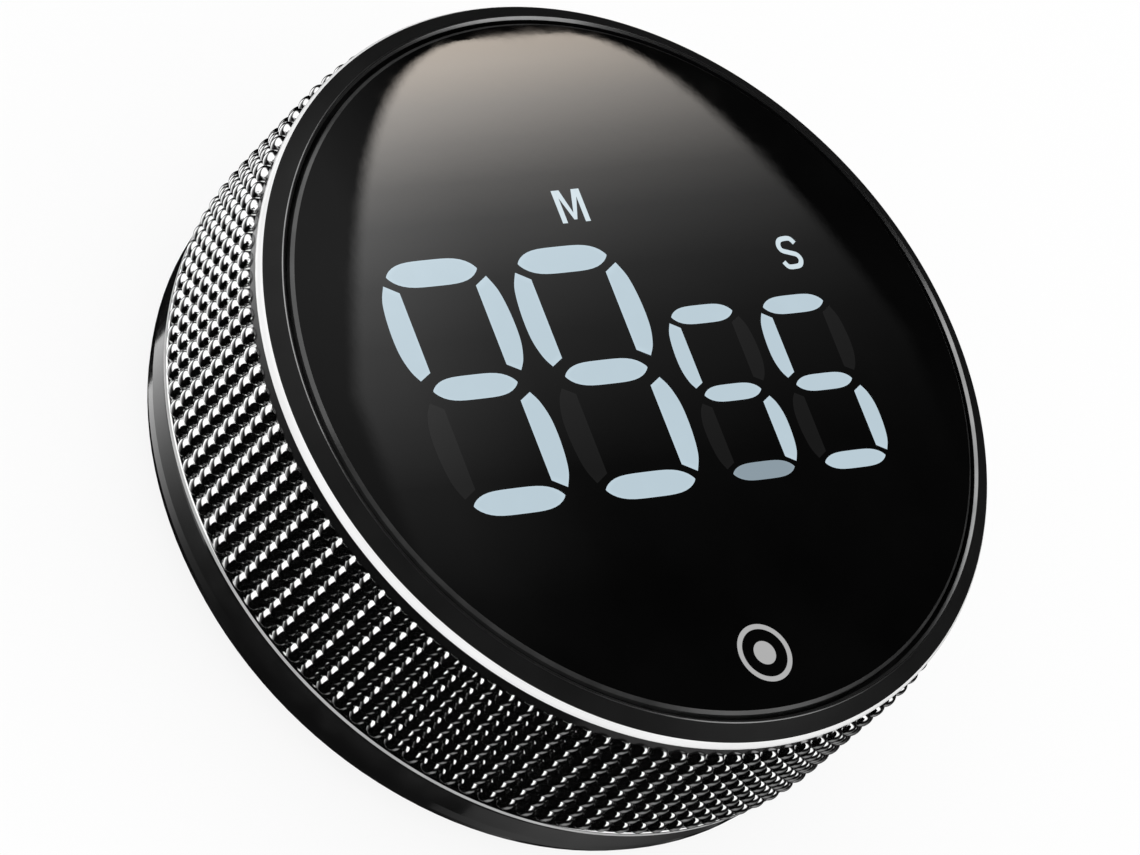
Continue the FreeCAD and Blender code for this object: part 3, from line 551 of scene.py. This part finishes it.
# ---------------------------------------------------------------- floor, light, camera
def within(tree, distance, half, soft):
    """1 inside half, 0 outside it, fading over soft on both sides of it; half and soft in degrees."""
    return spread(tree, distance, math.radians(half + soft), math.radians(half - soft), smooth=True)


def card(tree, azimuth, elevation, az_at, az_half, el_at, el_half, strength, soft):
    """Glow of a soft-edged card in a direction, angles in degrees, azimuth from +X towards +Y."""
    offset = maths(tree, "WRAP", maths(tree, "SUBTRACT", azimuth, math.radians(az_at)), math.pi, -math.pi)
    side = within(tree, maths(tree, "ABSOLUTE", offset), az_half, soft[0])
    lift = maths(tree, "ABSOLUTE", maths(tree, "SUBTRACT", elevation, math.radians(el_at)))
    rise = within(tree, lift, el_half, soft[1])
    return maths(tree, "MULTIPLY", maths(tree, "MULTIPLY", side, rise), strength)


# azimuth and half width, elevation and half height, strength, softness in azimuth and elevation
CARDS = (
    (139, 47, 28, 30, 1.7, (9, 10)),
    (298, 24, 31, 24, 1.6, (8, 8)),
    (70, 35, -46, 26, 2.6, (45, 10)),
    (125, 28, -50, 20, 0.25, (26, 10)),
    (300, 30, -48, 16, 0.32, (40, 8)),
    (240, 20, -48, 14, 0.06, (50, 8)),
)
STUDIO_GLOW = 0.005          # of the dark studio between the cards

# The arched overhead card, placed in mm on the lens where the main camera sees it mirrored
MIRROR_RISE, MIRROR_X, MIRROR_Y = 537.4, 438.7, 241.9   # camera over the lens, and beside its middle
LOWEST_Z = 0.05              # directions flatter than this count as this flat
ARCH_LOW, ARCH_HIGH = -22.0, 38.0                       # its fade's ends up the lens
ARCH_TOP, ARCH_TIP, ARCH_SPREAD, ARCH_ROUND = 34.6, 4.0, 27.7, 0.45
ARCH_SOFT = 1.2
ARCH_STRENGTH = 8.0
ARCH_LEAN, ARCH_LEAN_RISE = -0.0345, 0.0007             # brighter on its left, the more so lower down
ARCH_FADE = ((0.0, grey(0.0)), (0.2, grey(0.004)), (0.3, grey(0.0155)), (0.433, grey(0.034)),
             (0.533, grey(0.0645)), (0.633, grey(0.133, 0.01)), (0.7, grey(0.2253, 0.03)),
             (0.767, grey(0.409, 0.05)), (0.833, grey(0.643, 0.07)), (0.9, grey(0.92, 0.11)),
             (0.933, grey(0.98, 0.13)), (1.0, grey(1.0, 0.13)))

# A faint glow beside the arch: its middle, and the distances at which it is nothing and full
BESIDE_X, BESIDE_X_FADE = -34.0, (22.0, 8.0)
BESIDE_Y, BESIDE_Y_FADE = 16.0, (45.0, 5.0)
BESIDE_STRENGTH = 0.3


def arch(tree, lx, ly):
    """Strength and colour of the arched card at a place on the lens."""
    fade = shades(tree, spread(tree, ly, ARCH_LOW, ARCH_HIGH), *ARCH_FADE)
    reach = spread(tree, maths(tree, "SUBTRACT", ARCH_TOP, ly), 0.0, ARCH_TOP)
    half = maths(tree, "MULTIPLY_ADD", maths(tree, "POWER", reach, ARCH_ROUND), ARCH_SPREAD, ARCH_TIP)
    past = maths(tree, "SUBTRACT", maths(tree, "ABSOLUTE", lx), half)
    inside = spread(tree, past, ARCH_SOFT, -ARCH_SOFT, smooth=True)
    inside = maths(tree, "MULTIPLY", inside, spread(tree, ly, ARCH_TOP + 0.5, ARCH_TOP - 0.4, smooth=True))
    lean = maths(tree, "MULTIPLY", lx, maths(tree, "MULTIPLY_ADD", ly, ARCH_LEAN_RISE, ARCH_LEAN))
    inside = maths(tree, "MULTIPLY", inside, maths(tree, "EXPONENT", lean))
    return maths(tree, "MULTIPLY", inside, ARCH_STRENGTH), fade


def beside_arch(tree, lx, ly):
    from_x = maths(tree, "ABSOLUTE", maths(tree, "SUBTRACT", lx, BESIDE_X))
    from_y = maths(tree, "ABSOLUTE", maths(tree, "SUBTRACT", ly, BESIDE_Y))
    return maths(tree, "MULTIPLY", spread(tree, from_x, *BESIDE_X_FADE, 0.0, BESIDE_STRENGTH),
                 spread(tree, from_y, *BESIDE_Y_FADE))


def light():
    """White surroundings for the eye and for soft light; cards in a dark studio for reflections."""
    world = bpy.data.worlds.new("studio")
    world.use_nodes = True
    tree = world.node_tree
    tree.nodes.clear()
    place = add(tree, "SeparateXYZ", {0: add(tree, "TexCoord").outputs["Generated"]})
    x, y, z = place.outputs
    azimuth = maths(tree, "ARCTAN2", y, x)
    elevation = maths(tree, "ARCSINE", z)
    total = STUDIO_GLOW
    for values in CARDS:
        total = maths(tree, "ADD", total, card(tree, azimuth, elevation, *values))
    over = maths(tree, "MAXIMUM", z, LOWEST_Z)
    lx = maths(tree, "MULTIPLY_ADD", maths(tree, "DIVIDE", x, over), MIRROR_RISE, -MIRROR_X)
    ly = maths(tree, "MULTIPLY_ADD", maths(tree, "DIVIDE", y, over), MIRROR_RISE, -MIRROR_Y)
    strength, fade = arch(tree, lx, ly)
    total = maths(tree, "ADD", total, beside_arch(tree, lx, ly))
    studio = add(tree, "Background", {"Color": (1, 1, 1, 1), "Strength": total})
    warm = add(tree, "Background", {"Color": fade, "Strength": strength})
    seen = add(tree, "AddShader", {0: studio.outputs[0], 1: warm.outputs[0]})
    white = add(tree, "Background", {"Color": (1, 1, 1, 1), "Strength": 1.0})
    glossy = add(tree, "LightPath").outputs["Is Glossy Ray"]
    both = add(tree, "MixShader", {0: glossy, 1: white.outputs[0], 2: seen.outputs[0]})
    add(tree, "OutputWorld", {0: both.outputs[0]})
    bpy.context.scene.world = world


FLOOR_HALF = 4.0             # in metres
FLOOR_SHADE = 0.12           # share of the sheet's brightness that shadows can take


def floor():
    """Pale sheet under the timer: a faint contact shade, clear in reflections and from below."""
    material = bpy.data.materials.new("pale_floor")
    material.use_nodes = True
    tree = material.node_tree
    tree.nodes.clear()
    own = add(tree, "Emission", {"Color": (1, 1, 1, 1), "Strength": 1.0})
    sheet = add(tree, "BsdfDiffuse", {"Color": (0.98, 0.98, 0.98, 1)})
    top = add(tree, "MixShader", {0: FLOOR_SHADE, 1: own.outputs[0], 2: sheet.outputs[0]})
    under = add(tree, "BsdfTransparent")
    from_below = add(tree, "NewGeometry").outputs["Backfacing"]
    both = add(tree, "MixShader", {0: from_below, 1: top.outputs[0], 2: under.outputs[0]})
    add(tree, "OutputMaterial", {0: both.outputs[0]})
    mesh = bpy.data.meshes.new("floor")
    corners = [(FLOOR_HALF * u, FLOOR_HALF * v, 0) for u, v in ((-1, -1), (1, -1), (1, 1), (-1, 1))]
    mesh.from_pydata(corners, [], [(0, 1, 2, 3)])
    mesh.materials.append(material)
    made = bpy.data.objects.new("floor", mesh)
    made.visible_glossy = made.visible_diffuse = made.visible_shadow = False
    bpy.context.scene.collection.objects.link(made)


CAMERA_AT = (-438.72, -241.95, 565.98)
CAMERA_TURN = (32.08012, -29.21903, -23.21866)   # degrees
CAMERA_LENS, CAMERA_SENSOR = 252.63, 36.0        # mm


def camera():
    data = bpy.data.cameras.new("camera")
    data.lens, data.sensor_width = CAMERA_LENS, CAMERA_SENSOR
    data.clip_start, data.clip_end = 0.01, 50.0
    made = bpy.data.objects.new("camera", data)
    made.location = Vector(CAMERA_AT) * MM
    made.rotation_euler = Euler([math.radians(a) for a in CAMERA_TURN])
    bpy.context.scene.collection.objects.link(made)
    bpy.context.scene.camera = made


light()
floor()
camera()
bpy.context.scene.view_settings.view_transform = "Standard"
